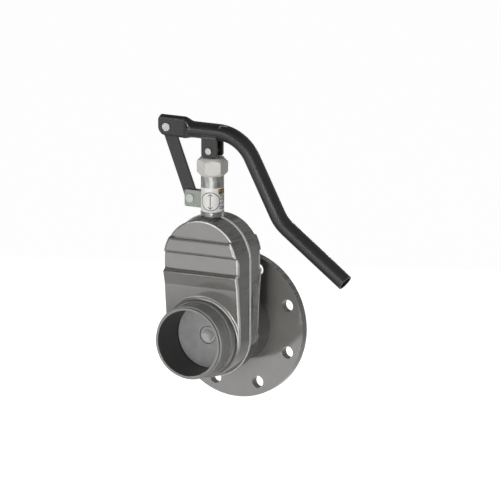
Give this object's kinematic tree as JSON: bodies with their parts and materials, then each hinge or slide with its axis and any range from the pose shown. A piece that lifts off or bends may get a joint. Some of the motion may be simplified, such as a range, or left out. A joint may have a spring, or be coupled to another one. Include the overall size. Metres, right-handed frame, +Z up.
{
  "type": "flanged slide valve with lever",
  "caption": "Slide valve with a moulded body, threaded inlet, bolted outlet flange, and a closing plate raised by a bent lever and link through a gland.",
  "frame": {"origin": "centre of the outlet flange's sealing face", "axes": "+Y along the bore out of the flange's sealing face, +Z up the stem, +X towards the lever's free end"},
  "size_m": [0.3512, 0.1723, 0.4475],
  "materials": {
    "body_grey": "satin moulded PVC",
    "spigot_grey": "satin moulded PVC",
    "plate_grey": "satin",
    "seal_rubber": "matte",
    "zinc_tube": "zinc plated, satin",
    "bush_plastic": "matte",
    "label_white": "printed film",
    "follower_brass": "turned",
    "nut_grey": "satin moulded nylon",
    "bracket_zinc": "passivated zinc",
    "pin_zinc": "bright zinc",
    "stem_steel": "ground",
    "lever_black": "satin black powder coat"
  },
  "bodies": {
    "valve_body": {"front_half_shell": "body_grey", "rear_half_shell": "body_grey", "threaded_spigot": "spigot_grey", "shoulder_ring": "body_grey", "rear_neck": "body_grey", "flange": "body_grey", "front_seat_ring": "seal_rubber", "rear_seat_ring": "seal_rubber", "bonnet_socket": "body_grey", "bonnet_tube": "zinc_tube", "stem_guide": "bush_plastic", "label_sleeve": "label_white", "gland_packing": "seal_rubber", "gland_follower": "follower_brass", "gland_nut": "nut_grey", "bracket_front_plate": "bracket_zinc", "bracket_rear_plate": "bracket_zinc", "bracket_pin": "pin_zinc"},
    "gate_stem": {"gate_plate": "plate_grey", "gate_plug": "plate_grey", "gate_hub": "plate_grey", "stem": "stem_steel", "stem_eye": "lever_black", "clevis_pin": "pin_zinc"},
    "lever": {"lever_tube": "lever_black", "lever_crimp": "lever_black", "lever_fork": "lever_black", "clevis_front_cheek": "lever_black", "clevis_rear_cheek": "lever_black", "link_pin_front": "pin_zinc", "link_pin_rear": "pin_zinc"},
    "link": {"link_bar": "lever_black"}
  },
  "joints": [
    {"name": "gate_slide", "type": "slide", "parent": "valve_body", "child": "gate_stem", "axis": [0, 0, 1], "range_m": [0, 0.105]},
    {"name": "lever_pivot", "type": "hinge", "parent": "gate_stem", "child": "lever", "pos_m": [0, -0.0915, 0.286], "axis": [0, -1, 0], "range_deg": [0, 77.5]},
    {"name": "link_pivot", "type": "hinge", "parent": "valve_body", "child": "link", "pos_m": [-0.0352, -0.0915, 0.2086], "axis": [0, 1, 0], "range_deg": [0, 16.4]}
  ],
  "couplings": [
    {"joint": "lever_pivot", "follows": "gate_slide", "rad_per_m": 12.871},
    {"joint": "link_pivot", "follows": "gate_slide", "rad_per_m": 2.7133}
  ]
}
